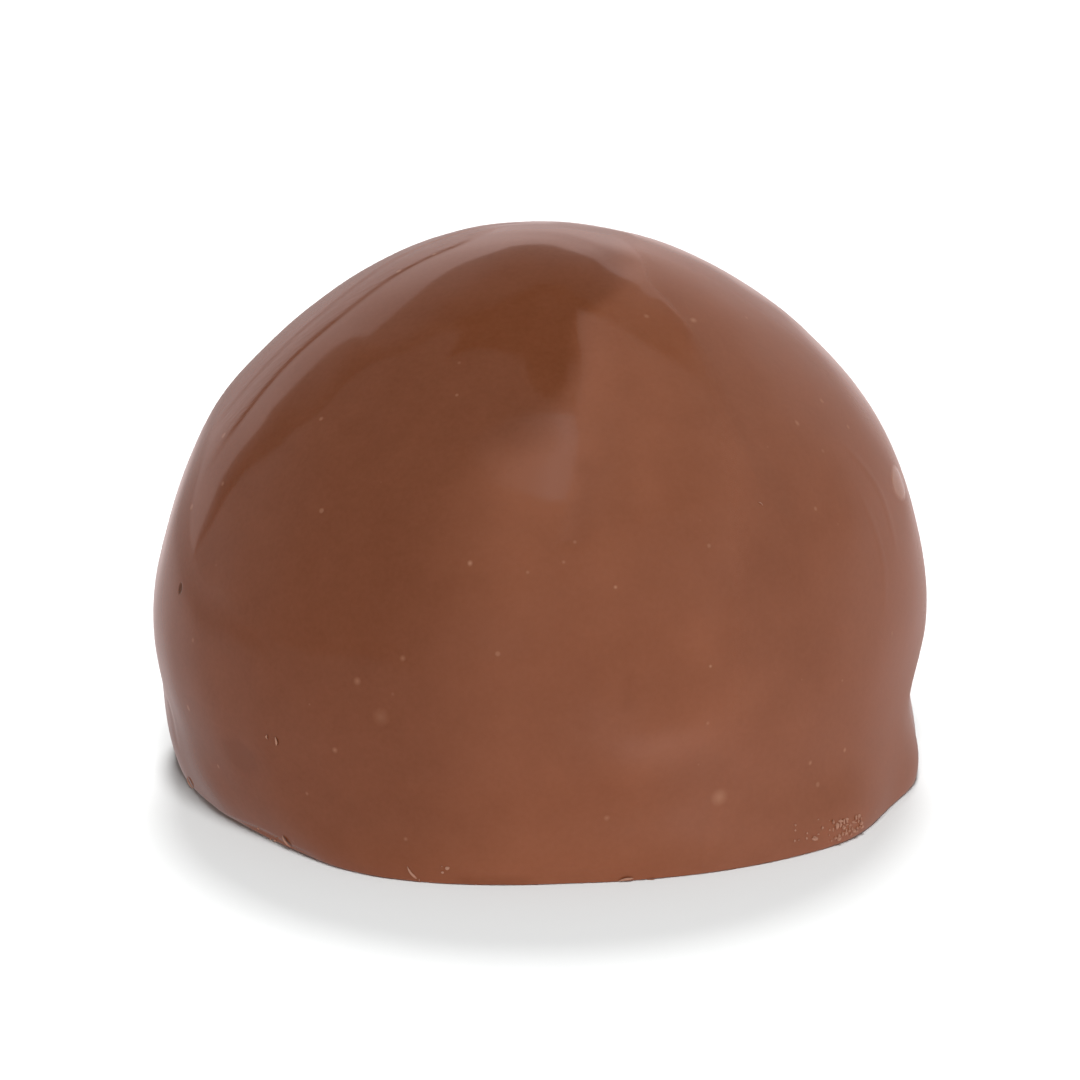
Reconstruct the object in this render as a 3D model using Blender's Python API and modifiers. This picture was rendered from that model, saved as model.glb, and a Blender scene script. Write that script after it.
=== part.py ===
"""A chocolate praline: a dome of milk chocolate, dipped by hand, standing on its own flat base.

Metres, +Z up. The origin is the middle of the base, on the table, and the front faces -Y.
The skin is told by its reach: how far it lies from the middle of the dome, along each direction.
A direction has an azimuth, counted from +X (the right) towards +Y (the back), and a polar angle
from straight up. Both are in degrees.
"""

import math

import bpy
import numpy as np

MM = 0.001

# The dome and its base
DOME_RADIUS = 15.04 * MM
MIDDLE_HEIGHT = 6.45 * MM
BASE_EDGE_ROUNDING = 0.15 * MM
BASE_FLATNESS = 0.001 * MM

# The crown stands up a little from the ball, above shoulders that are flatter than it
CROWN_HEIGHT = 0.14 * MM
CROWN_SPREAD = 10
SHOULDER_DEPTH = 0.25 * MM
SHOULDER_POLAR, SHOULDER_SPREAD = 38, 12

# The wall draws in to a waist and then runs out to the foot, where the chocolate pooled
WAIST_DEPTH = 0.23 * MM
WAIST_POLAR, WAIST_SPREAD = 104, 4.2
FOOT_STARTS, FOOT_ENDS = 94, 114
FOOT_FLARE = 0.565 * MM

# An uneven outline: number of corners, how far they stand out, azimuth of one of them
BELLY_POLAR, BELLY_SPREAD = 88, 18
BELLY_LOBES = [(1, 0.09 * MM, 140), (2, 0.35 * MM, 47.5)]
SHOULDER_LOBES = [(1, 0.15 * MM, 269)]
WAIST_LOBES = [(1, 0.21 * MM, 358)]
FOOT_LOBES = [
    (1, 0.29 * MM, 33),
    (2, 0.25 * MM, 145),
    (3, 0.11 * MM, 16),
    (4, 0.2 * MM, 73),
    (5, 0.11 * MM, 23),
    (6, 0.11 * MM, 0),
    (7, 0.08 * MM, 4),
    (8, 0.05 * MM, 17),
]

# Soft places where the coat lies thicker or thinner: azimuth, polar, width, height, thickness
SWELLS = [
    (180, 88, 2.6 * MM, 2.4 * MM, 0.06 * MM),
    (180, 78, 2.0 * MM, 2.0 * MM, -0.11 * MM),
    (191, 102, 2.6 * MM, 1.5 * MM, -0.22 * MM),
    (207, 111, 1.8 * MM, 1.0 * MM, 0.17 * MM),
    (240, 111, 2.0 * MM, 1.0 * MM, 0.17 * MM),
    (305, 111, 1.6 * MM, 1.0 * MM, -0.04 * MM),
    (323, 111, 1.8 * MM, 1.2 * MM, 0.28 * MM),
    (340, 111, 1.8 * MM, 1.3 * MM, -0.23 * MM),
    (351, 111, 1.0 * MM, 0.8 * MM, 0.03 * MM),
    (2, 109, 1.2 * MM, 1.2 * MM, -0.28 * MM),
    (0, 102, 2.0 * MM, 1.1 * MM, -0.27 * MM),
    (346, 103, 1.0 * MM, 0.8 * MM, 0.05 * MM),
    (344, 93, 2.2 * MM, 1.6 * MM, -0.09 * MM),
    (352, 91, 1.2 * MM, 0.7 * MM, -0.06 * MM),
    (353, 68, 0.8 * MM, 1.2 * MM, 0.05 * MM),
    (150, 21, 3.0 * MM, 3.0 * MM, 0.11 * MM),
    (30, 28, 3.0 * MM, 3.0 * MM, 0.09 * MM),
    (220, 100, 0.8 * MM, 0.7 * MM, -0.05 * MM),
    (271, 55, 1.4 * MM, 1.3 * MM, -0.07 * MM),
    (326, 15, 0.8 * MM, 0.7 * MM, -0.05 * MM),
    (272, 78, 2.2 * MM, 1.4 * MM, 0.05 * MM),
    (275, 87, 1.3 * MM, 1.8 * MM, -0.06 * MM),
    (60, 80, 3.2 * MM, 2.6 * MM, -0.12 * MM),
    (95, 62, 2.2 * MM, 2.8 * MM, 0.1 * MM),
    (128, 92, 2.6 * MM, 1.8 * MM, -0.12 * MM),
    (78, 103, 2.4 * MM, 1.2 * MM, 0.1 * MM),
]

# Runs: soft ribs that the coat left as it flowed down. Azimuth and polar along each, half width,
# thickness
RUNS = [
    ([(282, 22), (278, 41), (277, 53)], 0.9 * MM, 0.06 * MM),
    ([(305, 25), (290, 50), (285, 72)], 0.9 * MM, 0.05 * MM),
    ([(314, 34), (306, 58), (300, 84)], 1.0 * MM, 0.05 * MM),
    ([(277, 101), (286, 95), (296, 89), (302, 80)], 0.9 * MM, 0.06 * MM),
    ([(50, 30), (58, 52), (56, 78)], 1.1 * MM, 0.06 * MM),
    ([(88, 26), (92, 50), (100, 74), (98, 92)], 1.0 * MM, 0.06 * MM),
    ([(130, 34), (138, 58), (134, 82)], 1.1 * MM, 0.06 * MM),
    ([(20, 34), (16, 56), (22, 80)], 1.0 * MM, 0.05 * MM),
]

# Folds: the crest that the dipping fork left. Each is the lip of one sheet of chocolate that lies
# over the next, on its left as the fold runs
FOLD_HALF_WIDTH = 0.28 * MM
FOLD_FADE = 1.5 * MM
FOLDS = [
    ([(190, 64), (188, 50), (184, 35), (165, 19), (123, 11), (100, 7)], 0.03 * MM),
    ([(198, 66), (198, 56), (196, 44), (195, 32), (191, 21), (183, 12), (150, 9), (112, 8)], 0.04 * MM),
    ([(31, 17), (40, 14), (63, 11), (92, 10)], 0.05 * MM),
    ([(314, 36), (319, 30), (320.5, 25), (323, 20), (338, 16), (356, 13)], 0.015 * MM),
]

# The mesh: turned steps, and the polar angles of its rings
TURNED_STEPS = 90
RINGS = np.concatenate(
    [
        np.arange(0, 36, 1.5),
        np.arange(36, 104, 4),
        np.arange(104, 110, 2),
        np.arange(110, 117.5, 0.5),
        [119, 180],
    ]
)

# The coat of milk chocolate
COAT_COLOUR = (0.23, 0.082, 0.038, 1)
COAT_ROUGHNESS = 0.3


def direction(azimuth, polar):
    """The unit vector, or vectors, of these angles in degrees."""
    across, down = np.radians(azimuth), np.radians(polar)
    return np.stack([np.sin(down) * np.cos(across), np.sin(down) * np.sin(across), np.cos(down)], -1)


def bell(distance):
    """1 at no distance, falling smoothly to almost nothing at 3."""
    return np.exp(-0.5 * distance**2)


def ease(share):
    """0 to 1 with a smooth start and end."""
    share = np.clip(share, 0, 1)
    return share * share * (3 - 2 * share)


def band(polar, thickness, middle, spread):
    """A band of thicker or thinner coat that runs all round at one polar angle."""
    return thickness * bell((polar - middle) / spread)


def lobes(azimuth, sizes):
    """How far the corners of an uneven outline stand out."""
    return sum(out * np.cos(np.radians(corners * (azimuth - first))) for corners, out, first in sizes)


def path(places, steps=24):
    """Points on the ball along a smooth curve through places, from azimuth and polar."""
    knots = DOME_RADIUS * np.array([direction(*place) for place in places])
    knots = np.vstack([2 * knots[0] - knots[1], knots, 2 * knots[-1] - knots[-2]])
    points = []
    for before, start, end, after in zip(knots, knots[1:], knots[2:], knots[3:]):
        for share in np.arange(steps) / steps:
            bend = (2 * before - 5 * start + 4 * end - after) * share**2
            bend += (3 * start - before - 3 * end + after) * share**3
            point = start + 0.5 * ((end - before) * share + bend)
            points.append(DOME_RADIUS * point / np.linalg.norm(point))
    return np.array(points)


def beside(ball, points):
    """For each point on the ball: its distance from a path, on which side, and the path's share there.

    The distance is positive on the left of the path, as it runs and seen from outside.
    """
    nearest = np.full(len(ball), np.inf)
    side = np.zeros(len(ball))
    share = np.zeros(len(ball))
    for step, (start, end) in enumerate(zip(points, points[1:])):
        along = end - start
        gone = np.clip((ball - start) @ along / (along @ along), 0, 1)
        off = ball - start - gone[:, None] * along
        distance = np.linalg.norm(off, axis=1)
        closer = distance < nearest
        left = np.einsum("ij,ij->i", np.cross(ball, along), off)
        nearest = np.where(closer, distance, nearest)
        side = np.where(closer, np.sign(left), side)
        share = np.where(closer, (step + gone) / (len(points) - 1), share)
    return nearest, side, share


def swells(ball):
    """The soft thick and thin places of the coat."""
    thickness = np.zeros(len(ball))
    for azimuth, polar, width, height, out in SWELLS:
        middle = direction(azimuth, polar)
        sideways = direction(azimuth + 90, 90)
        downwards = direction(azimuth, polar + 90)
        off = ball - DOME_RADIUS * middle
        across, down, deep = off @ sideways, off @ downwards, off @ middle
        thickness += out * bell(across / width) * bell(down / height) * bell(deep / DOME_RADIUS)
    return thickness


def runs(ball):
    """The soft ribs, which fade at both ends."""
    thickness = np.zeros(len(ball))
    for places, half_width, out in RUNS:
        distance, _, share = beside(ball, path(places))
        thickness += out * bell(distance / half_width) * ease(4 * share) * ease(4 * (1 - share))
    return thickness


def folds(ball):
    """The lips of the crest: a step up on the left of each, falling away behind it."""
    thickness = np.zeros(len(ball))
    for places, out in FOLDS:
        distance, side, share = beside(ball, path(places))
        step = 0.5 + 0.5 * np.tanh(side * distance / FOLD_HALF_WIDTH)
        ends = ease(5 * share) * ease(5 * (1 - share))
        thickness += out * step * np.exp(-distance / FOLD_FADE) * ends
    return thickness


def soft_least(first, second, rounding):
    """The lesser of two reaches, with the corner between them rounded."""
    near = np.maximum(rounding - np.abs(first - second), 0) / rounding
    return np.minimum(first, second) - near**3 * rounding / 6


def skin(azimuth, polar):
    """Where the skin is along each direction, as points measured from the middle of the dome."""
    way = direction(azimuth, polar)
    ball = DOME_RADIUS * way
    shoulder = SHOULDER_DEPTH + lobes(azimuth, SHOULDER_LOBES)
    waist = WAIST_DEPTH + lobes(azimuth, WAIST_LOBES)
    foot = ease((polar - FOOT_STARTS) / (FOOT_ENDS - FOOT_STARTS))

    reach = DOME_RADIUS + band(polar, CROWN_HEIGHT, 0, CROWN_SPREAD)
    reach -= band(polar, shoulder, SHOULDER_POLAR, SHOULDER_SPREAD)
    reach += band(polar, lobes(azimuth, BELLY_LOBES), BELLY_POLAR, BELLY_SPREAD)
    reach -= band(polar, waist, WAIST_POLAR, WAIST_SPREAD)
    reach += (FOOT_FLARE + lobes(azimuth, FOOT_LOBES)) * foot
    reach += swells(ball) + runs(ball) + folds(ball)

    table = MIDDLE_HEIGHT / np.maximum(-way[:, 2], 0.1)
    reach = soft_least(reach, table, BASE_EDGE_ROUNDING)
    return reach[:, None] * way


def clear_scene():
    for thing in list(bpy.data.objects):
        bpy.data.objects.remove(thing, do_unlink=True)


def chocolate():
    """The coat's plain material."""
    made = bpy.data.materials.new("milk_chocolate")
    made.use_nodes = True
    shader = made.node_tree.nodes["Principled BSDF"]
    shader.inputs["Base Color"].default_value = COAT_COLOUR
    shader.inputs["Roughness"].default_value = COAT_ROUGHNESS
    shader.inputs["Metallic"].default_value = 0
    return made


def turned_ball(collection):
    """A ball turned from a half circle, whose rings lie closer together round the foot."""
    profile = bpy.data.meshes.new("half_circle")
    places = [DOME_RADIUS * direction(0, polar) for polar in RINGS]
    places[0][0] = places[-1][0] = 0
    profile.from_pydata(places, [(ring, ring + 1) for ring in range(len(places) - 1)], [])
    turned = bpy.data.objects.new("praline", profile)
    collection.objects.link(turned)

    screw = turned.modifiers.new("turn", "SCREW")
    screw.axis = "Z"
    screw.angle = math.tau
    screw.steps = screw.render_steps = TURNED_STEPS
    screw.use_merge_vertices = True
    screw.merge_threshold = 1e-6

    bpy.context.view_layer.update()
    graph = bpy.context.evaluated_depsgraph_get()
    turned.data = bpy.data.meshes.new_from_object(turned.evaluated_get(graph))
    turned.modifiers.clear()
    return turned


def shape(praline):
    """Moves each point of the ball out or in to the skin, then stands it on the table, centred."""
    mesh = praline.data
    points = np.empty(len(mesh.vertices) * 3)
    mesh.vertices.foreach_get("co", points)
    points = points.reshape(-1, 3)

    azimuth = np.degrees(np.arctan2(points[:, 1], points[:, 0])) % 360
    polar = np.degrees(np.arccos(np.clip(points[:, 2] / DOME_RADIUS, -1, 1)))
    points = skin(azimuth, polar)

    middle = (points.max(0) + points.min(0)) / 2
    points -= [middle[0], middle[1], -MIDDLE_HEIGHT]
    points[points[:, 2] < BASE_FLATNESS, 2] = 0
    mesh.vertices.foreach_set("co", points.ravel())
    mesh.update()


def main():
    clear_scene()
    collection = bpy.data.collections.new("chocolate_praline")
    bpy.context.scene.collection.children.link(collection)
    praline = turned_ball(collection)
    shape(praline)
    praline.data.materials.clear()
    praline.data.materials.append(chocolate())
    praline.data.shade_smooth()
    praline.data.set_sharp_from_angle(angle=math.radians(40))


main()
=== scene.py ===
import bmesh
import bpy
import numpy as np
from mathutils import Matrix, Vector


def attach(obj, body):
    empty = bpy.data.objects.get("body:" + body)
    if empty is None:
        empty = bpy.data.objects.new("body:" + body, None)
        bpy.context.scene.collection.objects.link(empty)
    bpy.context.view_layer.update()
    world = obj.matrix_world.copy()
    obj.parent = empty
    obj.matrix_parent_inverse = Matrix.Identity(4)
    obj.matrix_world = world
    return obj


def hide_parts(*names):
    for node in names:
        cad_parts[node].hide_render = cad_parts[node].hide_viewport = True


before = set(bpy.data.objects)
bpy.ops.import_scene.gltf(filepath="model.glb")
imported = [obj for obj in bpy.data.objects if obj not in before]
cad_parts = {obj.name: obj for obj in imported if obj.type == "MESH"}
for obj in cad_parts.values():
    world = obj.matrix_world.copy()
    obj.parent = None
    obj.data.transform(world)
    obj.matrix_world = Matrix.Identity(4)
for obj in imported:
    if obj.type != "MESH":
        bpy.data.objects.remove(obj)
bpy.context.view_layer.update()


# The coat: the whole praline as it shows, one shell of milk chocolate that ran down and set.
# It is sculpted from a ball. Each point moves along its own direction from the middle of the dome,
# told by an azimuth (from +X, the right, towards +Y, the back) and a polar angle from straight up.
MM = 0.001
DOME_RADIUS = 15.04 * MM
MIDDLE_HEIGHT = 6.45 * MM
BASE_EDGE_ROUNDING = 0.15 * MM

CROWN_HEIGHT = 0.14 * MM
CROWN_SPREAD = 10
SHOULDER_DEPTH = 0.25 * MM
SHOULDER_POLAR, SHOULDER_SPREAD = 38, 12

WAIST_DEPTH = 0.23 * MM
WAIST_POLAR, WAIST_SPREAD = 104, 4.2
FOOT_STARTS, FOOT_ENDS = 94, 114
FOOT_FLARE = 0.565 * MM

# An uneven outline: number of corners, how far they stand out, azimuth of one of them
BELLY_POLAR, BELLY_SPREAD = 88, 18
BELLY_LOBES = [(1, 0.09 * MM, 140), (2, 0.35 * MM, 47.5)]
SHOULDER_LOBES = [(1, 0.15 * MM, 269)]
WAIST_LOBES = [(1, 0.21 * MM, 358)]
FOOT_LOBES = [
    (1, 0.29 * MM, 33),
    (2, 0.25 * MM, 145),
    (3, 0.11 * MM, 16),
    (4, 0.2 * MM, 73),
    (5, 0.11 * MM, 23),
    (6, 0.11 * MM, 0),
    (7, 0.08 * MM, 4),
    (8, 0.05 * MM, 17),
]

# Soft places where the coat lies thicker or thinner: azimuth, polar, width, height, thickness
SWELLS = [
    (180, 88, 2.6 * MM, 2.4 * MM, 0.06 * MM),
    (180, 78, 2.0 * MM, 2.0 * MM, -0.11 * MM),
    (191, 102, 2.6 * MM, 1.5 * MM, -0.22 * MM),
    (207, 111, 1.8 * MM, 1.0 * MM, 0.17 * MM),
    (240, 111, 2.0 * MM, 1.0 * MM, 0.17 * MM),
    (305, 111, 1.6 * MM, 1.0 * MM, -0.04 * MM),
    (323, 111, 1.8 * MM, 1.2 * MM, 0.28 * MM),
    (340, 111, 1.8 * MM, 1.3 * MM, -0.23 * MM),
    (351, 111, 1.0 * MM, 0.8 * MM, 0.03 * MM),
    (2, 109, 1.2 * MM, 1.2 * MM, -0.28 * MM),
    (0, 102, 2.0 * MM, 1.1 * MM, -0.27 * MM),
    (346, 103, 1.0 * MM, 0.8 * MM, 0.05 * MM),
    (344, 93, 2.2 * MM, 1.6 * MM, -0.09 * MM),
    (352, 91, 1.2 * MM, 0.7 * MM, -0.06 * MM),
    (353, 68, 0.8 * MM, 1.2 * MM, 0.05 * MM),
    (150, 21, 3.0 * MM, 3.0 * MM, 0.11 * MM),
    (30, 28, 3.0 * MM, 3.0 * MM, 0.09 * MM),
    (220, 100, 0.8 * MM, 0.7 * MM, -0.05 * MM),
    (271, 55, 1.4 * MM, 1.3 * MM, -0.07 * MM),
    (326, 15, 0.8 * MM, 0.7 * MM, -0.05 * MM),
    (272, 78, 2.2 * MM, 1.4 * MM, 0.05 * MM),
    (275, 87, 1.3 * MM, 1.8 * MM, -0.06 * MM),
    (60, 80, 3.2 * MM, 2.6 * MM, -0.12 * MM),
    (95, 62, 2.2 * MM, 2.8 * MM, 0.1 * MM),
    (128, 92, 2.6 * MM, 1.8 * MM, -0.12 * MM),
    (78, 103, 2.4 * MM, 1.2 * MM, 0.1 * MM),
]

# Runs: soft ribs left by the flow. Azimuth and polar along each, half width, thickness
RUNS = [
    ([(282, 22), (278, 41), (277, 53)], 0.9 * MM, 0.06 * MM),
    ([(305, 25), (290, 50), (285, 72)], 0.9 * MM, 0.05 * MM),
    ([(314, 34), (306, 58), (300, 84)], 1.0 * MM, 0.05 * MM),
    ([(277, 101), (286, 95), (296, 89), (302, 80)], 0.9 * MM, 0.06 * MM),
    ([(50, 30), (58, 52), (56, 78)], 1.1 * MM, 0.06 * MM),
    ([(88, 26), (92, 50), (100, 74), (98, 92)], 1.0 * MM, 0.06 * MM),
    ([(130, 34), (138, 58), (134, 82)], 1.1 * MM, 0.06 * MM),
    ([(20, 34), (16, 56), (22, 80)], 1.0 * MM, 0.05 * MM),
]

# Folds: the crest that the dipping fork left. Each is the lip of a sheet of chocolate that lies over
# the next, on its left as the fold runs, with a fine groove on its right
FOLD_HALF_WIDTH = 0.14 * MM
FOLD_FADE = 1.5 * MM
FOLD_GROOVE_OFFSET, FOLD_GROOVE_HALF_WIDTH, FOLD_GROOVE_SHARE = 0.22 * MM, 0.16 * MM, 0.15
FOLDS = [
    ([(190, 64), (188, 50), (184, 35), (165, 19), (123, 11), (100, 7)], 0.03 * MM),
    ([(198, 66), (198, 56), (196, 44), (195, 32), (191, 21), (183, 12), (150, 9), (112, 8)], 0.04 * MM),
    ([(31, 17), (40, 14), (63, 11), (92, 10)], 0.05 * MM),
    ([(314, 36), (319, 30), (320.5, 25), (323, 20), (338, 16), (356, 13)], 0.015 * MM),
]

# Fine lines in the coat: azimuth and polar along each, half width, how far they stand out
LINES = [
    ([(250, 112.6), (264, 112.8), (279, 113), (296, 113.8)], 0.12 * MM, -0.02 * MM),
    ([(190, 117.3), (214, 114.9), (227, 114.7), (238, 114)], 0.12 * MM, -0.05 * MM),
    ([(189, 100), (190, 104), (188, 110)], 0.3 * MM, -0.03 * MM),
    ([(336, 55), (342, 66), (341, 78)], 0.12 * MM, 0.02 * MM),
    ([(334, 62), (336, 74), (333, 86)], 0.1 * MM, 0.014 * MM),
]

# Slight waves in the coat that only show in what it reflects
WAVES = 26
WAVE_LENGTHS = (2.2 * MM, 7 * MM)
WAVE_HEIGHT = 0.0022 * MM

COLUMNS = 480
RINGS = np.concatenate([np.linspace(0, 108, 161), np.linspace(108.25, 117.5, 38), [119, 180]])


def direction(azimuth, polar):
    across, down = np.radians(azimuth), np.radians(polar)
    return np.stack([np.sin(down) * np.cos(across), np.sin(down) * np.sin(across), np.cos(down)], -1)


def bell(distance):
    return np.exp(-0.5 * distance**2)


def ease(share):
    share = np.clip(share, 0, 1)
    return share * share * (3 - 2 * share)


def band(polar, thickness, middle, spread):
    return thickness * bell((polar - middle) / spread)


def lobes(azimuth, sizes):
    return sum(out * np.cos(np.radians(corners * (azimuth - first))) for corners, out, first in sizes)


def path(places, steps=12):
    """Points on the ball along a smooth curve through places, from azimuth and polar."""
    knots = DOME_RADIUS * np.array([direction(*place) for place in places])
    knots = np.vstack([2 * knots[0] - knots[1], knots, 2 * knots[-1] - knots[-2]])
    points = []
    for before, start, end, after in zip(knots, knots[1:], knots[2:], knots[3:]):
        for share in np.arange(steps) / steps:
            bend = (2 * before - 5 * start + 4 * end - after) * share**2
            bend += (3 * start - before - 3 * end + after) * share**3
            point = start + 0.5 * ((end - before) * share + bend)
            points.append(DOME_RADIUS * point / np.linalg.norm(point))
    return np.array(points)


def beside(ball, points):
    """How far left of a path each point on the ball is, and the share of the path there.

    The distance is negative on the right of the path.
    """
    nearest = np.full(len(ball), np.inf)
    side = np.zeros(len(ball))
    share = np.zeros(len(ball))
    for step, (start, end) in enumerate(zip(points, points[1:])):
        along = end - start
        gone = np.clip((ball - start) @ along / (along @ along), 0, 1)
        off = ball - start - gone[:, None] * along
        distance = np.linalg.norm(off, axis=1)
        closer = distance < nearest
        left = np.einsum("ij,ij->i", np.cross(ball, along), off)
        nearest = np.where(closer, distance, nearest)
        side = np.where(closer, np.sign(left), side)
        share = np.where(closer, (step + gone) / (len(points) - 1), share)
    return side * nearest, share


def patch(ball, azimuth, polar, width, height):
    """1 in the middle of a soft oval place on the ball, falling to 0 around it."""
    middle = direction(azimuth, polar)
    off = ball - DOME_RADIUS * middle
    across = off @ direction(azimuth + 90, 90)
    down = off @ direction(azimuth, polar + 90)
    return bell(across / width) * bell(down / height) * bell(off @ middle / DOME_RADIUS)


def stroke(ball, places, half_width):
    """1 along a path, falling to 0 beside it and towards its ends."""
    distance, share = beside(ball, path(places))
    return bell(distance / half_width) * ease(4 * share) * ease(4 * (1 - share))


def fold(ball, places, thickness):
    distance, share = beside(ball, path(places))
    step = 0.5 + 0.5 * np.tanh(distance / FOLD_HALF_WIDTH)
    groove = FOLD_GROOVE_SHARE * bell((distance + FOLD_GROOVE_OFFSET) / FOLD_GROOVE_HALF_WIDTH)
    ends = ease(5 * share) * ease(5 * (1 - share))
    return thickness * (step * np.exp(-np.abs(distance) / FOLD_FADE) - groove) * ends


def waves(ball):
    chance = np.random.default_rng(4)
    out = np.zeros(len(ball))
    for _ in range(WAVES):
        way = chance.normal(size=3)
        length = chance.uniform(*WAVE_LENGTHS)
        phase = chance.uniform(0, 2 * np.pi)
        turned = ball @ (way / np.linalg.norm(way)) * 2 * np.pi / length + phase
        out += WAVE_HEIGHT * (length / WAVE_LENGTHS[0]) * np.sin(turned)
    return out


def soft_least(first, second, rounding):
    near = np.maximum(rounding - np.abs(first - second), 0) / rounding
    return np.minimum(first, second) - near**3 * rounding / 6


azimuths, polars = np.meshgrid(np.arange(COLUMNS) * 360 / COLUMNS, RINGS[1:-1])
azimuths, polars = azimuths.ravel(), polars.ravel()
ways = direction(azimuths, polars)
ball = DOME_RADIUS * ways

reach = DOME_RADIUS + band(polars, CROWN_HEIGHT, 0, CROWN_SPREAD)
reach -= band(polars, SHOULDER_DEPTH + lobes(azimuths, SHOULDER_LOBES), SHOULDER_POLAR, SHOULDER_SPREAD)
reach += band(polars, lobes(azimuths, BELLY_LOBES), BELLY_POLAR, BELLY_SPREAD)
reach -= band(polars, WAIST_DEPTH + lobes(azimuths, WAIST_LOBES), WAIST_POLAR, WAIST_SPREAD)
foot = ease((polars - FOOT_STARTS) / (FOOT_ENDS - FOOT_STARTS))
reach += (FOOT_FLARE + lobes(azimuths, FOOT_LOBES)) * foot
reach += sum(out * patch(ball, *place) for *place, out in SWELLS)
reach += sum(out * stroke(ball, places, half_width) for places, half_width, out in RUNS + LINES)
reach += sum(fold(ball, places, thickness) for places, thickness in FOLDS)
reach += waves(ball)
reach = soft_least(reach, MIDDLE_HEIGHT / np.maximum(-ways[:, 2], 0.1), BASE_EDGE_ROUNDING)

skin = reach[:, None] * ways
apex = [0, 0, skin[:COLUMNS, 2].max()]
under = [0, 0, -MIDDLE_HEIGHT]
box_middle = (skin.max(0) + skin.min(0)) / 2
to_table = np.array([-box_middle[0], -box_middle[1], MIDDLE_HEIGHT])
points = np.vstack([skin, apex, under]) + to_table

rows = len(RINGS) - 2
column = np.arange(COLUMNS)
after = (column + 1) % COLUMNS
faces = []
for row in range(rows - 1):
    upper, lower = row * COLUMNS, (row + 1) * COLUMNS
    faces += np.stack([upper + column, lower + column, lower + after, upper + after], -1).tolist()
last = (rows - 1) * COLUMNS
faces += np.stack([np.full(COLUMNS, rows * COLUMNS), column, after], -1).tolist()
faces += np.stack([np.full(COLUMNS, rows * COLUMNS + 1), last + after, last + column], -1).tolist()

coat_mesh = bpy.data.meshes.new("coat")
coat_mesh.from_pydata(points, [], faces)
coat_mesh.shade_smooth()
coat = bpy.data.objects.new("coat", coat_mesh)
bpy.context.scene.collection.objects.link(coat)

# Where the coat is painted paler or darker, as strokes and patches: azimuth, polar, size, amount. Some is
# its own tone, and some is painted light and shade, as marked
TONE_AND_LIGHT_STROKES = [
    ([(290, 24), (284, 36), (279, 46), (276, 52)], 0.6 * MM, 0.2),
    ([(304, 29), (294, 42), (289, 53), (286, 66)], 0.6 * MM, 0.15),
    ([(312, 46), (305, 59), (300, 74)], 0.6 * MM, 0.15),
    # Painted light: a paler band along the low ridge at the front right, where it catches the light
    ([(278, 100), (286, 95), (293, 92), (300, 88), (302, 79)], 0.8 * MM, 0.25),
    ([(278, 48), (277, 57), (276, 66)], 0.4 * MM, -0.15),
    ([(283.5, 81), (282.6, 85), (281.8, 89)], 0.16 * MM, -0.15),
    # Painted shadow: a darker band just above the foot at the front
    ([(256, 114), (262, 114.3), (272, 114.5)], 0.25 * MM, -0.3),
]
TONE_AND_LIGHT_PATCHES = [
    # Painted highlight in part, and in part a paler tone: the paler patch at the front where a soft
    # highlight lies
    (271, 54, 0.9 * MM, 0.8 * MM, 0.5),
    (264, 51, 1.2 * MM, 0.8 * MM, 0.25),
    (264, 62, 1.6 * MM, 2.4 * MM, 0.15),
    (280, 66, 0.6 * MM, 0.9 * MM, 0.2),
    (294, 78, 0.6 * MM, 0.9 * MM, 0.2),
    (312, 95, 0.6 * MM, 0.7 * MM, 0.15),
    (307, 69, 1.2 * MM, 1.2 * MM, -0.15),
    (313, 84, 1.0 * MM, 1.5 * MM, -0.12),
    (273, 86, 1.3 * MM, 1.6 * MM, -0.15),
    (292, 98, 1.0 * MM, 0.8 * MM, -0.15),
    # Painted shade: darker in the dimple at the lower left
    (219.6, 100.6, 0.5 * MM, 0.3 * MM, -0.9),
    # Painted light: paler low on the front left, for the light that the table throws up
    (246, 96, 3.5 * MM, 4.0 * MM, 0.12),
    # Painted light: paler along the foot at the front, for the light that the table throws up
    (255, 112, 4.0 * MM, 0.9 * MM, 0.25),
    (290, 110, 2.5 * MM, 1.2 * MM, 0.1),
    # Painted shade: darker on the left side, away from the light from the right
    (200, 95, 3.0 * MM, 4.0 * MM, -0.1),
    (322.6, 111.5, 0.9 * MM, 0.35 * MM, 0.35),
]
tone_and_painted_light = sum(amount * stroke(ball, places, half_width) for places, half_width, amount in TONE_AND_LIGHT_STROKES)
tone_and_painted_light += sum(amount * patch(ball, *place) for *place, amount in TONE_AND_LIGHT_PATCHES)

# Painted light: the right side is painted paler, for the light that falls on it from the right, from an
# edge that runs down the front. The edge bends to the right at the crown, and lower down it lies farther
# left and is softer. The paler side fades towards the back.
RIGHT_PAINTED_LIGHT = 0.6
EDGE_PLACE, EDGE_WIDTH = 1.4 * MM, 1.4 * MM
CROWN_BEND, BEND_POLAR, BEND_FADE = 1.7 * MM, 26, 8
LOWER_SHIFT, LOWER_WIDENING, LOWER_POLAR, LOWER_FADE = 4.2 * MM, 4.6 * MM, 34, 28
BACK_FADE = 6 * MM

below = ease((polars - LOWER_POLAR) / LOWER_FADE)
edge = EDGE_PLACE + CROWN_BEND * ease((BEND_POLAR - polars) / BEND_FADE) - LOWER_SHIFT * below
lit_right_side = ease((ball[:, 0] - edge) / (EDGE_WIDTH + LOWER_WIDENING * below) + 0.5)
tone_and_painted_light += RIGHT_PAINTED_LIGHT * lit_right_side * ease((BACK_FADE - ball[:, 1]) / BACK_FADE)

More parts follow.
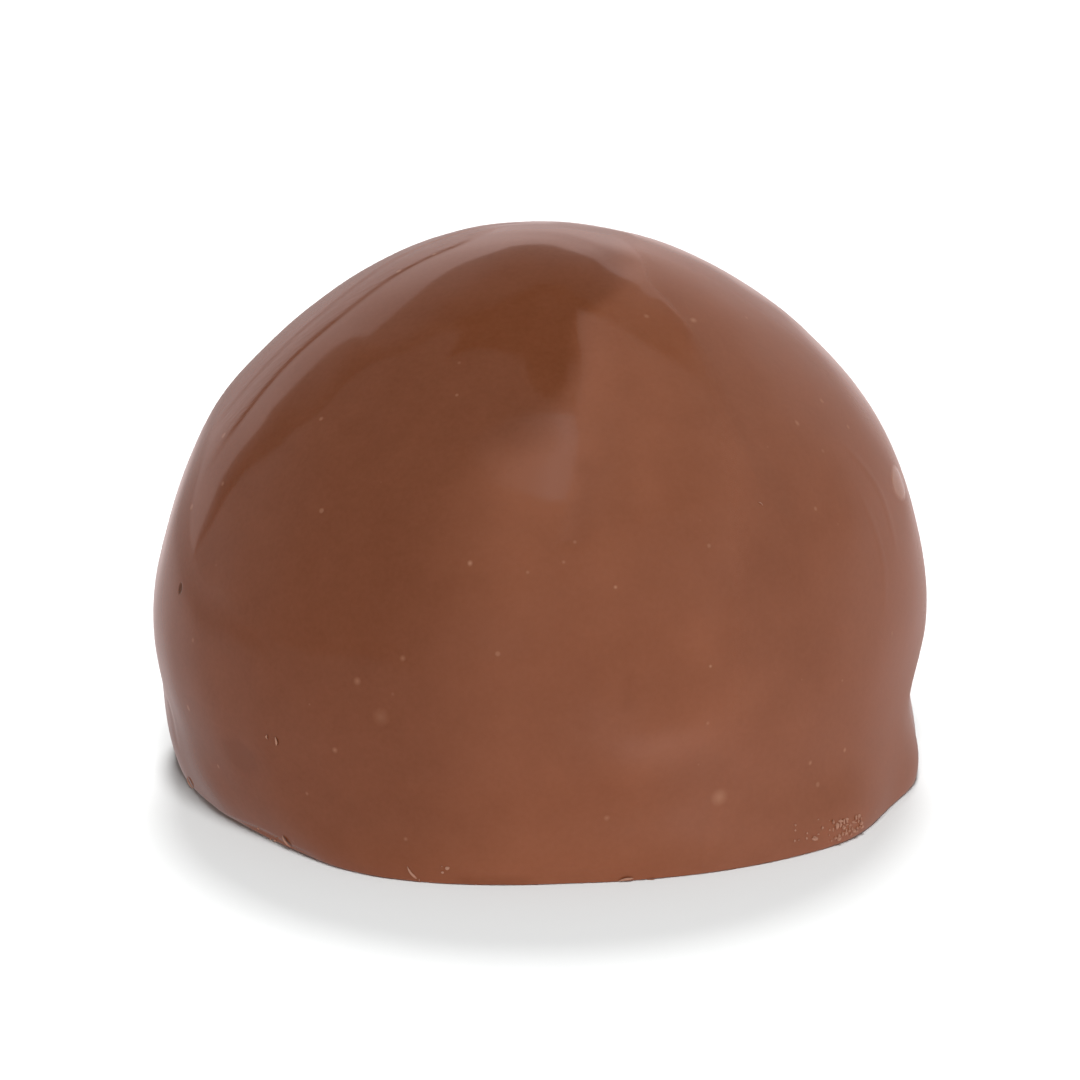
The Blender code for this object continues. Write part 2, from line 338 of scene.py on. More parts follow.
# Duller places. One is the sheet behind the second left fold, which is also rippled. The other is the
# right side, from a line that follows the right fold and is softer below it.
RIPPLED_EDGE_WIDTH = 0.4 * MM
MATTE_EDGE = [
    (20, 11),
    (356, 13),
    (338, 16),
    (323, 20),
    (320.5, 25),
    (319, 30),
    (311, 40),
    (302, 60),
    (297, 90),
    (294, 118),
]
MATTE_WIDTH, MATTE_WIDENING = 0.15 * MM, 5 * MM
WIDENING_STARTS, WIDENING_FADE = 0.5, 0.3
MATTE_BACK_FADE = 8 * MM

behind, along = beside(ball, path(FOLDS[1][0]))
rippled = ease(0.5 + behind / RIPPLED_EDGE_WIDTH) * ease(4 * along) * ease(6 * (1 - along))
past_edge, along = beside(ball, path(MATTE_EDGE))
width = MATTE_WIDTH + MATTE_WIDENING * ease((along - WIDENING_STARTS) / WIDENING_FADE)
matte = ease(0.5 + past_edge / width) * ease(0.5 - ball[:, 1] / MATTE_BACK_FADE)

for name, values in {"tone_and_painted_light": tone_and_painted_light, "rippled": rippled, "matte": matte}.items():
    layer = coat_mesh.attributes.new(name, "FLOAT", "POINT")
    layer.data.foreach_set("value", np.append(values, [values[0], values[-1]]).astype(np.float32))


class Value:
    """What a shader works out at each point, with its sums written as on paper."""

    def __init__(self, recipe, socket):
        self.recipe = recipe
        self.socket = socket

    def sum(self, operation, first, second):
        return self.recipe.add("Math", {"operation": operation}, {0: first, 1: second})

    def __add__(self, other):
        return self.sum("ADD", self, other)

    def __sub__(self, other):
        return self.sum("SUBTRACT", self, other)

    def __rsub__(self, other):
        return self.sum("SUBTRACT", other, self)

    def __mul__(self, other):
        return self.sum("MULTIPLY", self, other)

    def most(self, other):
        return self.sum("MAXIMUM", self, other)

    def least(self, other):
        return self.sum("MINIMUM", self, other)

    __radd__ = __add__
    __rmul__ = __mul__


PER_MM = 1 / MM


class Recipe:
    """A material's nodes. Each is made by add(): its type, its settings, then its sockets."""

    def __init__(self, name):
        self.material = bpy.data.materials.new(name)
        self.material.use_nodes = True
        self.tree = self.material.node_tree
        self.tree.nodes.clear()

    def add(self, kind, settings={}, sockets={}, output=0):
        node = self.tree.nodes.new("ShaderNode" + kind)
        for name, value in settings.items():
            setattr(node, name, value)
        for name, value in sockets.items():
            if isinstance(value, Value):
                self.tree.links.new(value.socket, node.inputs[name])
            else:
                node.inputs[name].default_value = value
        return Value(self, node.outputs[output]) if node.outputs else node

    def place_in_mm(self):
        place = self.add("TexCoord", output="Object")
        return self.add("VectorMath", {"operation": "SCALE"}, {0: place, "Scale": PER_MM})

    def mix(self, share, first, second):
        """A colour between two, and no further where the share is below 0 or above 1."""
        settings = {"data_type": "RGBA", "clamp_factor": True}
        return self.add("Mix", settings, {0: share, 6: first, 7: second}, output=2)

    def finish(self, shader):
        self.add("OutputMaterial", sockets={"Surface": shader})
        return self.material


COAT_DARK = (0.222, 0.067, 0.0265, 1)
COAT_LIGHT = (0.36, 0.125, 0.061, 1)
PINHOLE_SHADE = (0.14, 0.045, 0.014, 1)
SPECK_AND_HIGHLIGHT_PALE = (0.55, 0.27, 0.16, 1)

recipe = Recipe("milk_chocolate_coat")
place = recipe.place_in_mm()
# The coat's tone from the mesh, with the painted light and shade that it carries
tone_and_painted_light = recipe.add("Attribute", {"attribute_name": "tone_and_painted_light"}, output="Fac")
rippled = recipe.add("Attribute", {"attribute_name": "rippled"}, output="Fac")
matte = recipe.add("Attribute", {"attribute_name": "matte"}, output="Fac")
mottle = recipe.add("TexNoise", sockets={"Vector": place, "Scale": 0.7, "Detail": 4.0})
grain = recipe.add("TexNoise", sockets={"Vector": place, "Scale": 5.0, "Detail": 2.0})

# Air bubbles and milk specks: azimuth, polar, half width, half height in mm, how pale
SPOTS = [
    (298, 103.1, 0.4, 0.4, 0.55),
    (258.5, 65.9, 0.12, 0.14, 1.0),
    (243, 84.7, 0.18, 0.18, 0.5),
    (249.8, 80.4, 0.14, 0.14, 0.5),
    (239.1, 95.4, 0.14, 0.14, 0.6),
    (246.9, 89.1, 0.4, 0.4, 0.25),
    (295.7, 82.1, 0.08, 0.08, 1.0),
    (280.9, 69.8, 0.09, 0.09, 1.0),
    (279.7, 104.7, 0.14, 0.14, 0.5),
    (323.6, 101.4, 0.12, 0.12, 0.8),
    (315.3, 101.4, 0.12, 0.12, 0.7),
    (323.1, 29.2, 0.2, 0.12, 0.7),
    (344.8, 32.9, 0.1, 0.1, 0.7),
    (327.9, 50.3, 0.14, 0.2, 0.6),
    (275, 63, 0.09, 0.09, 0.5),
    (233, 103, 0.1, 0.1, 0.5),
    (250, 107, 0.1, 0.1, 0.5),
]

# A pinhole on the left and a clear blister at the right edge: azimuth, polar, half width and half
# height in mm, and how sharp their rims are
PINHOLE, PINHOLE_SHARPNESS = (203.2, 79.4, 0.2, 0.28), 3.0
BLISTER, BLISTER_SHARPNESS = (352.5, 67.6, 1.1, 0.68), 4.0


def away_from(azimuth, polar, half_width, half_height):
    """1 at the rim of an upright oval spot on the skin, 0 in its middle."""
    on_skin = points[np.argmax(ways @ direction(azimuth, polar))] / MM
    half_sizes = (half_width, half_width, half_height)
    off = recipe.add("VectorMath", {"operation": "SUBTRACT"}, {0: place, 1: on_skin})
    off = recipe.add("VectorMath", {"operation": "DIVIDE"}, {0: off, 1: half_sizes})
    return recipe.add("VectorMath", {"operation": "LENGTH"}, {0: off}, output="Value")


spots = 0.0
for *oval, amount in SPOTS:
    spots = spots + (amount * (1.0 - away_from(*oval))).most(0.0)
pit = (PINHOLE_SHARPNESS * (1.0 - away_from(*PINHOLE))).most(0.0).least(1.0)
blister = (BLISTER_SHARPNESS * (1.0 - away_from(*BLISTER))).most(0.0).least(1.0)

# Finer specks strewn by chance, one in each cell: half the width of the smallest and how much more the
# largest has, both in cells, how sharp their rims are, and how pale they are at most
CELLS_PER_MM = 0.75
SPECK_SMALLEST, SPECK_SPAN, SPECK_SHARPNESS, SPECK_PALENESS = 0.02, 0.11, 9.0, 0.4
cells = {"Vector": place, "Scale": CELLS_PER_MM}
away = recipe.add("TexVoronoi", sockets=cells, output="Distance")
cell_colour = recipe.add("TexVoronoi", sockets=cells, output="Color")
luck = recipe.add("SeparateColor", sockets={0: cell_colour})
specks = (SPECK_SMALLEST + SPECK_SPAN * luck * luck - away) * SPECK_SHARPNESS
spots = spots + specks.most(0.0).least(SPECK_PALENESS)

TINT_BASE, TINT_MOTTLE, TINT_GRAIN = 0.15, 0.35, 0.3
BLISTER_HIGHLIGHT = 0.3
# The tint holds the painted light and shade as well as the coat's own tone
tint = TINT_BASE + tone_and_painted_light + TINT_MOTTLE * (mottle - 0.5) + TINT_GRAIN * (grain - 0.5)
colour = recipe.mix(tint, COAT_DARK, COAT_LIGHT)
# Pale specks, and the blister painted paler: a painted highlight for the glint on it
colour = recipe.mix(spots + BLISTER_HIGHLIGHT * blister, colour, SPECK_AND_HIGHLIGHT_PALE)
# Painted shade: the pinhole is painted dark for the shade in its hollow
colour = recipe.mix(pit, colour, PINHOLE_SHADE)

# Glossy, but duller where it is rippled or matt. There each fine grain of it reflects a little more
# or less sharply than the next. The blister is the glossiest place, and the pinhole the dullest.
ROUGH_GLOSSY, ROUGH_RIPPLED, ROUGH_MATTE, ROUGH_SPECKLE = 0.07, 0.16, 0.23, 0.12
ROUGH_MOTTLE, ROUGH_PIT, BLISTER_GLOSS = 0.04, 0.6, 0.85
speckle = recipe.add("TexWhiteNoise", {"noise_dimensions": "3D"}, {"Vector": place})
roughness = ROUGH_GLOSSY + ROUGH_RIPPLED * rippled + ROUGH_MATTE * matte + ROUGH_SPECKLE * matte * speckle
roughness = roughness * (1.0 - BLISTER_GLOSS * blister)
roughness = roughness + ROUGH_MOTTLE * mottle + ROUGH_PIT * pit

# Relief too fine for the mesh, in shares of BUMP_HEIGHT. The ripples change fastest from front to back
BUMP_HEIGHT = 0.004 * MM
RIPPLES_PER_MM = (0.9, 4.0, 0.9)
MOTTLE_HEIGHT, GRAIN_HEIGHT, RIPPLE_HEIGHT = 0.5, 0.12, 5.0
SPOT_HEIGHT, PIT_DEPTH, BLISTER_HEIGHT = 0.4, 3.0, 3.0
drawn_out = recipe.add("VectorMath", {"operation": "MULTIPLY"}, {0: place, 1: RIPPLES_PER_MM})
ripples = recipe.add(
    "TexNoise", sockets={"Vector": drawn_out, "Scale": 1.0, "Detail": 3.0, "Distortion": 0.6}
)
skin_height = MOTTLE_HEIGHT * mottle + GRAIN_HEIGHT * grain + RIPPLE_HEIGHT * rippled * ripples
skin_height = skin_height + SPOT_HEIGHT * spots - PIT_DEPTH * pit + BLISTER_HEIGHT * blister
bump = recipe.add("Bump", sockets={"Strength": 1.0, "Distance": BUMP_HEIGHT, "Height": skin_height})
shader = recipe.add(
    "BsdfPrincipled",
    {"subsurface_method": "RANDOM_WALK"},
    {
        "Base Color": colour,
        "Roughness": roughness,
        "Normal": bump,
        "IOR": 1.45,
        "Specular IOR Level": 0.5,
        "Subsurface Weight": 0.15,
        "Subsurface Radius": (1.0, 0.4, 0.2),
        "Subsurface Scale": 0.5 * MM,
    },
)
coat_mesh.materials.append(recipe.finish(shader))

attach(coat, "root")
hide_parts("praline")


# Crumbs: the grains of set chocolate that cling to the foot, where the praline was cut free of the
# sheet it set on. They are rough and paler than the coat.
CRUMB_TAN = (0.42, 0.19, 0.115, 1)
CRUMB_PALE = (0.66, 0.37, 0.26, 1)
# Azimuth and polar of the middle of each cluster, half its width and height, how many, largest size
CLUSTERS = [
    (322.6, 111.5, 3.8, 1.4, 60, 0.085 * MM),
    (315, 110.6, 4, 1.5, 14, 0.05 * MM),
    (315.2, 111.8, 0.2, 0.1, 2, 0.12 * MM),
    (255.3, 111.8, 0.8, 0.5, 4, 0.07 * MM),
    (250, 114, 2, 0.7, 4, 0.06 * MM),
    (218, 115, 6, 0.8, 3, 0.05 * MM),
    (150, 113, 8, 1.5, 12, 0.07 * MM),
    (60, 113, 6, 1.2, 12, 0.07 * MM),
]


def on_coat(azimuth, polar):
    """The point of the coat nearest to a direction, and the way out of the coat there."""
    nearest = np.argmax(ways @ direction(azimuth, polar))
    return Vector(points[nearest]), coat_mesh.vertices[nearest].normal.copy()


# The least and the most of a crumb's size, stretch and roughness, how far it stands out as a share of
# its size, and how low anything on the foot may reach
CRUMB_SIZES, CRUMB_STRETCHES, CRUMB_ROUGHNESS = (0.4, 1), (0.6, 1.5), (0.7, 1.25)
CRUMB_LIFT = 0.25
LOWEST = 0.002 * MM

chance = np.random.default_rng(11)
crumbs_shape = bmesh.new()
for azimuth, polar, wide, high, count, largest in CLUSTERS:
    for _ in range(count):
        size = largest * chance.uniform(*CRUMB_SIZES)
        at, out = on_coat(azimuth + wide * chance.uniform(-1, 1), polar + high * chance.uniform(-1, 1))
        lump = bmesh.ops.create_icosphere(crumbs_shape, subdivisions=1, radius=size)["verts"]
        stretch = chance.uniform(*CRUMB_STRETCHES, 3)
        for corner in lump:
            uneven = chance.uniform(*CRUMB_ROUGHNESS)
            corner.co = at + CRUMB_LIFT * size * out + Vector(uneven * stretch * corner.co)
            corner.co.z = max(corner.co.z, LOWEST)
crumbs_mesh = bpy.data.meshes.new("crumbs")
crumbs_shape.to_mesh(crumbs_mesh)
crumbs_shape.free()
crumbs = bpy.data.objects.new("crumbs", crumbs_mesh)
bpy.context.scene.collection.objects.link(crumbs)

recipe = Recipe("crumbled_chocolate")
grain = recipe.add("TexNoise", sockets={"Vector": recipe.place_in_mm(), "Scale": 9.0, "Detail": 2.0})
colour = recipe.mix(grain, CRUMB_TAN, CRUMB_PALE)
shader = recipe.add("BsdfPrincipled", sockets={"Base Color": colour, "Roughness": 0.6})
crumbs_mesh.materials.append(recipe.finish(shader))
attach(crumbs, "root")
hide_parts("praline")


# Shavings: thin curls of pale chocolate that were scraped off and stuck on the coat.
# Each is a strand that thins towards both ends and lifts off the coat in its middle.

# Azimuth and polar of both ends, how far it lifts, half its width
SHAVINGS = [
    ((227.2, 94.9), (227.5, 95.6), 0.03 * MM, 0.045 * MM),
    ((228.6, 95.0), (228.9, 96.8), 0.04 * MM, 0.055 * MM),
    ((225.0, 112.8), (225.8, 114.7), 0.06 * MM, 0.08 * MM),
    ((189.5, 113.2), (190.5, 115.0), 0.05 * MM, 0.07 * MM),
    ((250.1, 111.4), (251.8, 114.4), 0.07 * MM, 0.06 * MM),
    ((277.5, 115.2), (279.4, 115.1), 0.02 * MM, 0.05 * MM),
    ((282.2, 114.7), (284.6, 114.6), 0.03 * MM, 0.07 * MM),
    ((286.6, 115.0), (287.8, 114.9), 0.02 * MM, 0.05 * MM),
    ((309, 60), (309.8, 61.0), 0.02 * MM, 0.02 * MM),
    ((40, 84), (42, 85.5), 0.1 * MM, 0.035 * MM),
    ((121, 101), (122, 103.5), 0.1 * MM, 0.035 * MM),
]
SHAVING_STEPS, SHAVING_SIDES = 9, 6

# In shares of its half width: how far a shaving lies off the coat, half the width of its tips, and half
# its thickness
SHAVING_LIFT, SHAVING_TIP, SHAVING_THICKNESS = 0.3, 0.25, 0.5

corners, faces = [], []
for first, last, lift, half_width in SHAVINGS:
    start = len(corners)
    bend = chance.uniform(-1, 1)
    ends = [on_coat(*end)[0] for end in (first, last)]
    along = (ends[1] - ends[0]).normalized()
    for step in range(SHAVING_STEPS):
        share = step / (SHAVING_STEPS - 1)
        arch = 4 * share * (1 - share)
        _, out = on_coat(*[a + (b - a) * share for a, b in zip(first, last)])
        across = along.cross(out).normalized()
        middle = ends[0].lerp(ends[1], share) + out * (lift * arch + SHAVING_LIFT * half_width)
        middle = middle + across * bend * arch * 2 * half_width
        radius = half_width * (SHAVING_TIP + (1 - SHAVING_TIP) * arch)
        for side in range(SHAVING_SIDES):
            turn = 2 * np.pi * side / SHAVING_SIDES
            corner = middle + across * radius * np.cos(turn)
            corner = corner + out * SHAVING_THICKNESS * radius * np.sin(turn)
            corner.z = max(corner.z, LOWEST)
            corners.append(corner)
    for step in range(SHAVING_STEPS - 1):
        here = start + step * SHAVING_SIDES
        there = here + SHAVING_SIDES
        for side in range(SHAVING_SIDES):
            following = (side + 1) % SHAVING_SIDES
            faces.append((here + side, here + following, there + following, there + side))
    faces.append(tuple(range(start + SHAVING_SIDES - 1, start - 1, -1)))
    faces.append(tuple(range(len(corners) - SHAVING_SIDES, len(corners))))
shavings_mesh = bpy.data.meshes.new("shavings")
shavings_mesh.from_pydata(corners, [], faces)
shavings_mesh.shade_smooth()
shavings = bpy.data.objects.new("shavings", shavings_mesh)
bpy.context.scene.collection.objects.link(shavings)
shavings_mesh.materials.append(crumbs_mesh.materials[0])
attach(shavings, "root")
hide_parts("praline")


# The table: a plain matt sheet of a middle grey. Lamps of its own light it until it is as white as
# paper, save in the praline's shadow. It is a wide disc that fills every view from above it.
TABLE_RADIUS = 1.6
TABLE_DROP = 0.01 * MM
TABLE_CORNERS = 96
TABLE_GREY = (0.395, 0.4, 0.4, 1)

turn = np.arange(TABLE_CORNERS) * 2 * np.pi / TABLE_CORNERS
table_mesh = bpy.data.meshes.new("table")
rim = np.stack([TABLE_RADIUS * np.cos(turn), TABLE_RADIUS * np.sin(turn), 0 * turn - TABLE_DROP], -1)
table_mesh.from_pydata(rim, [], [list(range(len(rim)))])
table = bpy.data.objects.new("table", table_mesh)
bpy.context.scene.collection.objects.link(table)
recipe = Recipe("white_table")
shader = recipe.add(
    "BsdfPrincipled", sockets={"Base Color": TABLE_GREY, "Roughness": 0.9, "Specular IOR Level": 0.0}
)
table_mesh.materials.append(recipe.finish(shader))
table.visible_glossy = False
table.visible_diffuse = False


# The studio round it: white cards for what the coat reflects, an even white room for the light that
# spreads, and lamps. All stand well behind every camera or lie under the table.
CARD_WHITE = (1.0, 0.8, 0.78)


def card(name, rows, tone=CARD_WHITE, lights=False):
    """A sheet that glows, joined from rows of points with how bright each row, or each point, is.

    It is there for what the coat reflects, or else only for the light that it spreads.
    """
    across = len(rows[0][0])
    corners = [point for places, _ in rows for point in places]
    quads = []
    for row in range(len(rows) - 1):
        for here in range(row * across, (row + 1) * across - 1):
            quads.append((here, here + 1, here + across + 1, here + across))
    mesh = bpy.data.meshes.new(name)
    mesh.from_pydata(corners, [], quads)
    shine = mesh.attributes.new("shine", "FLOAT", "POINT")
    brightness = [np.broadcast_to(bright, across) for _, bright in rows]
    shine.data.foreach_set("value", np.concatenate(brightness).astype(np.float32))
    made = bpy.data.objects.new(name, mesh)
    bpy.context.scene.collection.objects.link(made)
    recipe = Recipe(name + "_glow")
    shine = recipe.add("Attribute", {"attribute_name": "shine"}, output="Fac")
    light = recipe.add("VectorMath", {"operation": "SCALE"}, {0: tone, "Scale": shine})
    glow = recipe.add("Emission", sockets={"Color": light, "Strength": 1.0})
    mesh.materials.append(recipe.finish(glow))
    made.visible_camera = False
    made.visible_diffuse = lights
    made.visible_glossy = not lights


# A white sweep behind: its edge by azimuth, counted from straight back to the right, and elevation.
# Each row lies at a share of the way from its middle to the edge, or at its top so many degrees
# beyond it, and has its own brightness
SWEEP_RADIUS = 1.0
SWEEP_MIDDLE = np.array([-10, -1])
SWEEP_EDGE = [
    (-54, 0),
    (-52, 9),
    (-51.5, 14),
    (-50, 17),
    (-47, 21),
    (-43.5, 22.5),
    (-43, 26),
    (-42, 29),
    (-38.5, 30),
    (-38, 32),
    (-39, 35),
    (-41, 39),
    (-37, 41),
    (-30, 39.5),
    (-22, 38),
    (-16, 36),
    (-11, 33.5),
    (-6, 31),
    (1, 33),
    (7, 37),
    (15, 41),
    (24, 45),
    (29, 48),
    (33, 48),
    (42, 38),
    (56, 28),
    (60, 10),
    (60, 0),
]
SWEEP_INSIDE = [(0.02, 0.7), (0.4, 0.85), (0.75, 1.1), (1.0, 1.2)]
SWEEP_BEYOND = [(0.3, 0.5), (7, 0.4), (16, 0.25), (28, 0.12)]


def on_sweep(azimuth, elevation):
    turn, rise = np.radians(azimuth), np.radians(max(elevation, -1))
    return (SWEEP_RADIUS * np.sin(turn), SWEEP_RADIUS * np.cos(turn), SWEEP_RADIUS * np.tan(rise))


outward = np.array(SWEEP_EDGE) - SWEEP_MIDDLE
far = np.linalg.norm(outward, axis=1)[:, None]
skirt = outward / far * outward[:, 1:] / far
sweep_rows = [(SWEEP_MIDDLE + share * outward, bright) for share, bright in SWEEP_INSIDE]
sweep_rows += [(np.array(SWEEP_EDGE) + over * skirt, bright) for over, bright in SWEEP_BEYOND]


# A paler place on the sweep: how much, where and how wide. Then how much darker it grows towards its
# sides, from which azimuth on, and over how many degrees: to the right in two steps, then to the left
SWEEP_LEVEL = 1.08
SWEEP_PALER, PALER_AZIMUTH, PALER_ELEVATION, PALER_SPREAD = 0.45, 5, 19, 7
RIGHT_DARKER = [(0.32, 10, 8), (0.2, 34, 16)]
LEFT_DARKER, LEFT_STARTS, LEFT_FADE = 0.3, -22, 15


def sweep_glow(azimuths, elevations):
    """How much paler or darker than its row a place on the sweep is."""
    paler = SWEEP_PALER * bell((azimuths - PALER_AZIMUTH) / PALER_SPREAD)
    paler = paler * bell((elevations - PALER_ELEVATION) / PALER_SPREAD)
    right = sum(darker * ease((azimuths - starts) / fade) for darker, starts, fade in RIGHT_DARKER)
    left = LEFT_DARKER * ease((LEFT_STARTS - azimuths) / LEFT_FADE)
    return SWEEP_LEVEL + paler - right - left


card(
    "sweep",
    [
        ([on_sweep(*angles) for angles in row], bright * sweep_glow(row[:, 0], row[:, 1]))
        for row, bright in sweep_rows
    ],
)

# A dimmer wall on the left, palest low down and towards the back
LEFT_WALL_AWAY = 1.05
LEFT_WALL_STARTS, LEFT_WALL_ENDS, LEFT_WALL_STEP = -125, -50, 5
LEFT_WALL_RISES = np.array([0, 10, 20, 30, 40, 52, 64])
LEFT_WALL_LEVEL, LEFT_WALL_PALER = 0.28, 0.24
PALER_BACK_FADE, PALER_RISE, PALER_RISE_FADE = 50, 50, 40

wall_rows = []
for azimuth in range(LEFT_WALL_STARTS, LEFT_WALL_ENDS + 1, LEFT_WALL_STEP):
    places = [LEFT_WALL_AWAY * np.array(on_sweep(azimuth, rise)) for rise in LEFT_WALL_RISES]
    bright = LEFT_WALL_PALER * ease((azimuth - LEFT_WALL_STARTS) / PALER_BACK_FADE)
    bright = bright * ease((PALER_RISE - LEFT_WALL_RISES) / PALER_RISE_FADE)
    wall_rows.append((places, LEFT_WALL_LEVEL + bright))
card("left_wall", wall_rows)

# A soft box overhead on the right: how far right each row is, and its brightness
SOFT_BOX_HEIGHT, SOFT_BOX_ENDS = 1.2, (-1.3, 0.5)
SOFT_BOX_ROWS = [(0.18, 0.6), (0.4, 0.4), (1.3, 0.35)]
card(
    "soft_box",
    [([(x, y, SOFT_BOX_HEIGHT) for y in SOFT_BOX_ENDS], bright) for x, bright in SOFT_BOX_ROWS],
)

# A cooler glow overhead in front: how far right each row is, its front, its back, its brightness
HIGH_GLOW_HEIGHT = 1.2
HIGH_GLOW_ROWS = [
    (-0.36, -0.24, -0.2, 0.1),
    (-0.17, -0.56, -0.16, 0.35),
    (0.0, -0.7, -0.15, 0.65),
    (0.07, -0.76, -0.15, 1.05),
    (0.17, -0.77, -0.14, 0.85),
]
HIGH_GLOW_TONE = (0.85, 0.92, 1.0)
card(
    "high_glow",
    [([(x, y, HIGH_GLOW_HEIGHT) for y in ends], bright) for x, *ends, bright in HIGH_GLOW_ROWS],
    HIGH_GLOW_TONE,
)

# A wall in front on the right: the place of each row, and its brightness at the foot and at the top
RIGHT_WALL_HEIGHT = 0.9
RIGHT_WALL_ROWS = [
    ((0.0, -1.27), (0.5, 0.35)),
    ((0.3, -1.15), (0.45, 0.4)),
    ((1.3, -0.3), (0.45, 0.45)),
]
card(
    "right_wall",
    [([(*place, z) for z in (0.0, RIGHT_WALL_HEIGHT)], bright) for place, bright in RIGHT_WALL_ROWS],
)

# The light that the table throws back up on the praline, even as far as the foot
FLOOR_LIGHT = 0.78
FLOOR_TONE = (1.0, 0.9, 0.86)
FLOOR_REACH, FLOOR_DROP = 1.5, 0.05
floor_ends = (-FLOOR_REACH, FLOOR_REACH)
card(
    "floor_light",
    [([(x, y, -FLOOR_DROP) for x in floor_ends], FLOOR_LIGHT) for y in floor_ends],
    FLOOR_TONE,
    lights=True,
)

# What the coat reflects of the table: darker in front and close round the foot, and paler behind. It
# is paler at both sides too, but far from the praline less so on the right, and darker on the left.
# In front on the right it has a pale streak. From CONTACT_DARKER on, all lengths are in mm
TABLE_GLOW_Y = [-1.5, -0.3, -0.12, -0.06, -0.03, 0.0, 0.03, 0.1, 1.5]
TABLE_GLOWS = [0.45, 0.45, 0.48, 0.5, 0.5, 0.5, 0.6, 0.8, 0.8]
TABLE_GLOW_RADII = np.array([8, 14, 17, 20, 24, 29, 35, 45, 60, 100, 300, 1500]) * MM
TABLE_GLOW_STEP = 7.5
TABLE_GLOW_DROP = 1 * MM
CONTACT_DARKER, CONTACT_RADIUS, CONTACT_FADE = 0.35, 14, 11
FAR_RADIUS, FAR_FADE = 50, 40
STREAK_PALER, STREAK_PLACE, STREAK_SIZE = 0.7, (14, -28), (4, 11)

# Right as 1 or left as -1, how much paler the side is, how much less far away, how far in front it ends
SIDES_FADE = 18
SIDES_PALER = [(1, 0.5, 0.35, 12), (-1, 0.25, 0.5, 30)]


def table_glow(x, y):
    """How bright the table looks to the coat at a place on it."""
    level = np.interp(y, TABLE_GLOW_Y, TABLE_GLOWS)
    away = np.hypot(x, y) / MM
    contact = 1 - CONTACT_DARKER + CONTACT_DARKER * ease((away - CONTACT_RADIUS) / CONTACT_FADE)
    far = ease((away - FAR_RADIUS) / FAR_FADE)
    sides = 1
    for side, paler, less, front in SIDES_PALER:
        share = ease(side * x / MM / SIDES_FADE) * ease((y / MM + front) / front)
        sides = sides + (paler - less * far) * share
    streak = STREAK_PALER * bell((x / MM - STREAK_PLACE[0]) / STREAK_SIZE[0])
    streak = streak * bell((y / MM - STREAK_PLACE[1]) / STREAK_SIZE[1])
    return level * contact * sides + streak


glow_rows = []
for turn in np.radians(np.arange(0, 361, TABLE_GLOW_STEP)):
    x, y = TABLE_GLOW_RADII * np.cos(turn), TABLE_GLOW_RADII * np.sin(turn)
    glow_rows.append(([(*place, -TABLE_GLOW_DROP) for place in zip(x, y)], table_glow(x, y)))
card("table_glow", glow_rows)

# The room in front, a little paler in its middle, with a paler strip along the horizon there
ROOM_RADIUS = 1.9
ROOM_TURNS = np.linspace(-2.0, 2.0, 33)
ROOM_RISES = np.radians([-1, 4, 9, 14, 20, 30, 40, 50, 60, 70, 80, 86])
ROOM_LEVEL, ROOM_MIDDLE, ROOM_STRIP = 0.28, 0.07, 0.2
MIDDLE_ENDS, MIDDLE_FADE = 0.9, 0.8
STRIP_ENDS, STRIP_FADE = 0.5, 0.4

room_rows = []
for turn in ROOM_TURNS:
    middle = ease((MIDDLE_ENDS - abs(turn)) / MIDDLE_FADE)
    strip = ROOM_STRIP * middle * ease((STRIP_ENDS - ROOM_RISES) / STRIP_FADE)
    level = np.cos(ROOM_RISES)
    places = np.stack([np.sin(turn) * level, -np.cos(turn) * level, np.sin(ROOM_RISES)], -1)
    room_rows.append((ROOM_RADIUS * places, ROOM_LEVEL + ROOM_MIDDLE * middle + strip))
card("room_front", room_rows)

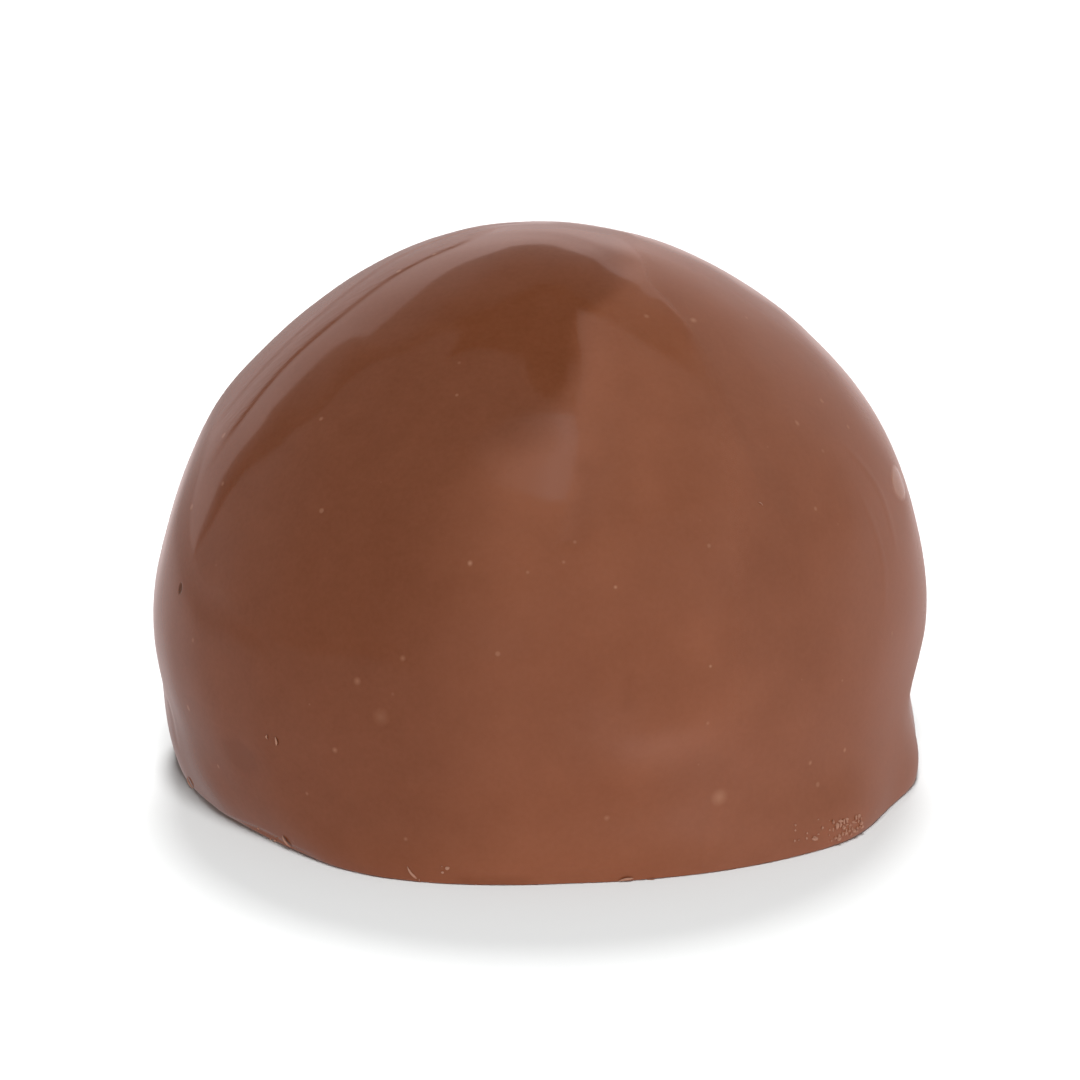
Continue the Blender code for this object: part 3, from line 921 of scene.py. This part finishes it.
world = bpy.data.worlds.new("white_room")
bpy.context.scene.world = world
world.use_nodes = True
room = world.node_tree.nodes["Background"]
room.inputs["Color"].default_value = (1, 1, 1, 1)
room.inputs["Strength"].default_value = 0.6
world.cycles_visibility.glossy = False


def lamp(name, size, energy, place, receivers, aim=(0, 0, 0)):
    """A round lamp that points at aim, lights only its receivers, and shows in no reflection."""
    lamp_data = bpy.data.lights.new(name, "AREA")
    lamp_data.shape = "DISK"
    lamp_data.size = size
    lamp_data.energy = energy
    made = bpy.data.objects.new(name, lamp_data)
    made.location = place
    made.rotation_euler = (Vector(aim) - made.location).to_track_quat("-Z", "Y").to_euler()
    made.visible_glossy = False
    made.light_linking.receiver_collection = receivers
    bpy.context.scene.collection.objects.link(made)


# The praline's lamps: one low in front on the right, and one overhead towards the back
lit_praline = bpy.data.collections.new("lit_praline")
for piece in (coat, crumbs, shavings):
    lit_praline.objects.link(piece)
lamp("right_lamp", 0.5, 1.28, (0.68, -0.68, 0.3), lit_praline, aim=(0, 0, 0.01))
lamp("top_lamp", 0.4, 0.65, (0, 0.45, 0.9), lit_praline)

# The table's own lamps: one in front, and a wider and stronger one behind
lit_table = bpy.data.collections.new("lit_table")
lit_table.objects.link(table)
lamp("table_front_lamp", 0.3, 19.0, (0, -0.6, 0.9), lit_table)
lamp("table_back_lamp", 0.5, 28.0, (0, 0.75, 0.97), lit_table)

bpy.context.scene.view_settings.view_transform = "Standard"


# The camera: a long lens, a little above the praline, in front of it. Its place is counted from the
# middle of the dome, so it moves along when the dome is shifted to put its box over the origin.
CAMERA_PLACE = np.array([0, -334.84, 111.46]) * MM
CAMERA_DIP = 16.963
CAMERA_TURN = -0.0151
LENS = 300.9

camera_data = bpy.data.cameras.new("camera")
camera_data.lens = LENS
camera_data.clip_start = 0.05
camera_data.clip_end = 10
camera = bpy.data.objects.new("camera", camera_data)
camera.location = CAMERA_PLACE + np.array([to_table[0], to_table[1], 0])
look = Vector(direction(90 - CAMERA_TURN, 90 + CAMERA_DIP))
camera.rotation_euler = look.to_track_quat("-Z", "Y").to_euler()
bpy.context.scene.collection.objects.link(camera)
bpy.context.scene.camera = camera
